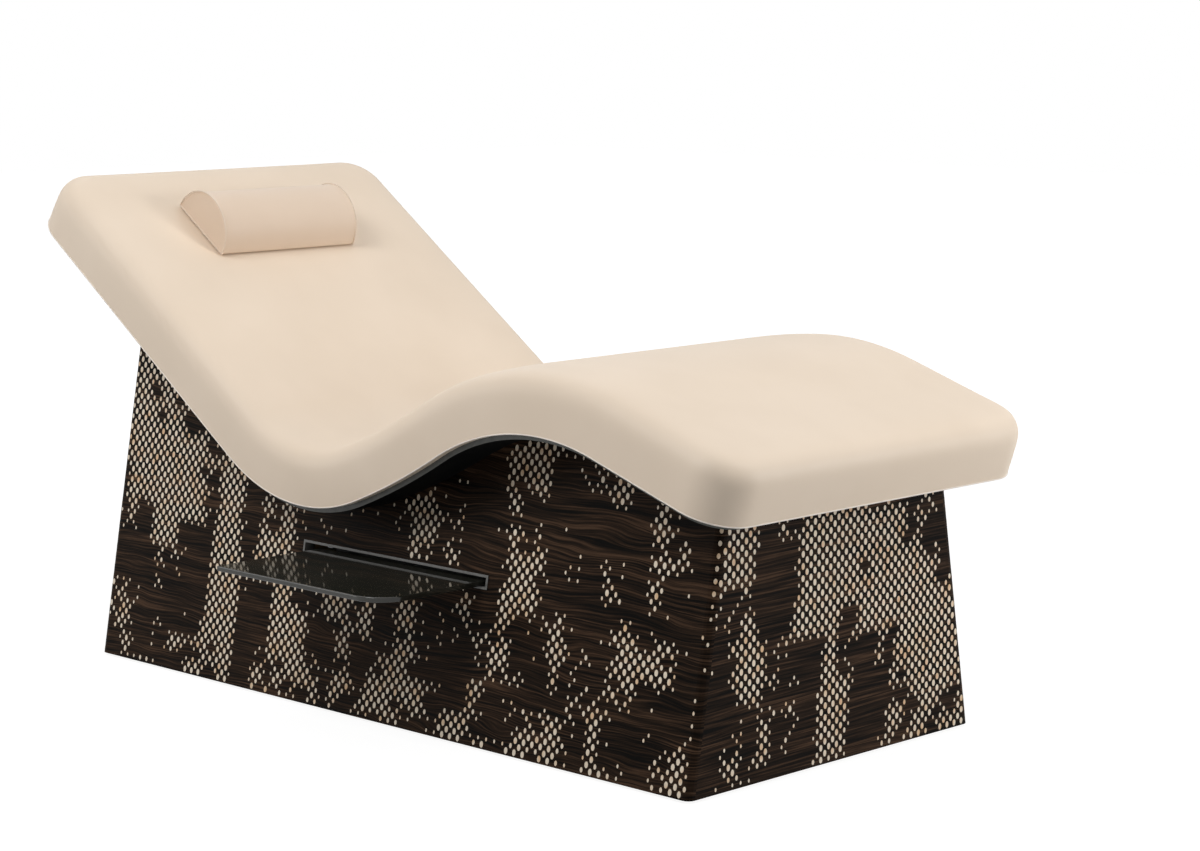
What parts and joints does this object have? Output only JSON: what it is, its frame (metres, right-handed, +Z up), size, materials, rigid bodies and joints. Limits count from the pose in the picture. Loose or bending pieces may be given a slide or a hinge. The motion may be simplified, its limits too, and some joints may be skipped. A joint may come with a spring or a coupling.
{
  "type": "spa relaxation lounger",
  "caption": "Spa lounger with a waved upholstered mattress on a closed base with leaning sides, a half-round neck pillow and a gloss shelf that slides out of one side.",
  "frame": {"origin": "middle of the base on the floor, at the underside of the middle glide", "axes": "+X along the length from the head end to the foot end, -Y towards the side with the shelf, +Z up"},
  "size_m": [1.7953, 0.947, 0.924],
  "materials": {
    "board": "bare birch plywood",
    "veneer": "dark smoked veneer with pale inlaid ovals, satin",
    "timber": "planed softwood",
    "glide": "moulded, matt",
    "plate": "dark grey-green, satin, black underneath",
    "deck": "film-faced plywood, satin",
    "foam": "open-cell upholstery foam",
    "cover": "soft coated upholstery, low sheen",
    "slot_frame": "dark grey, satin",
    "guide": "extruded, natural",
    "screw": "zinc plated",
    "buffer": "matt",
    "shelf": "high gloss black",
    "stop_bar": "black, satin",
    "strip": "hook-and-loop tape"
  },
  "bodies": {
    "base": {"side_board_near": "board", "side_board_far": "board", "end_board_head": "board", "end_board_foot": "board", "veneer_near": "veneer", "veneer_far": "veneer", "veneer_head": "veneer", "veneer_foot": "veneer", "corner_post_head_near": "timber", "corner_post_head_far": "timber", "corner_post_foot_near": "timber", "corner_post_foot_far": "timber", "bottom_rail_near": "timber", "bottom_rail_far": "timber", "bottom_rail_head": "timber", "bottom_rail_middle": "timber", "bottom_rail_foot": "timber", "former_back": "board", "former_seat": "board", "former_knee": "board", "former_calf": "board", "deck_battens": "timber", "glides": "glide", "carrier_plate": "plate", "deck": "deck", "mattress_foam": "foam", "mattress_cover": "cover", "slot_frame": "slot_frame", "shelf_board": "board", "shelf_batten_head": "timber", "shelf_batten_foot": "timber", "shelf_guide_head": "guide", "shelf_guide_foot": "guide", "guide_screws": "screw", "front_buffers": "buffer", "rear_buffers": "buffer", "loop_strips": "strip"},
    "shelf": {"shelf": "shelf", "stop_bar": "stop_bar"},
    "pillow": {"pillow_foam": "foam", "pillow_cover": "cover", "pillow_base": "cover", "hook_strips": "strip"}
  },
  "joints": [
    {"name": "shelf_slide", "type": "slide", "parent": "base", "child": "shelf", "axis": [0, 1, 0], "range_m": [0, 0.227]},
    {"name": "pillow_lift", "type": "slide", "parent": "base", "child": "pillow", "axis": [0.5736, 0, 0.8191], "range_m": [0, 0.15]}
  ]
}
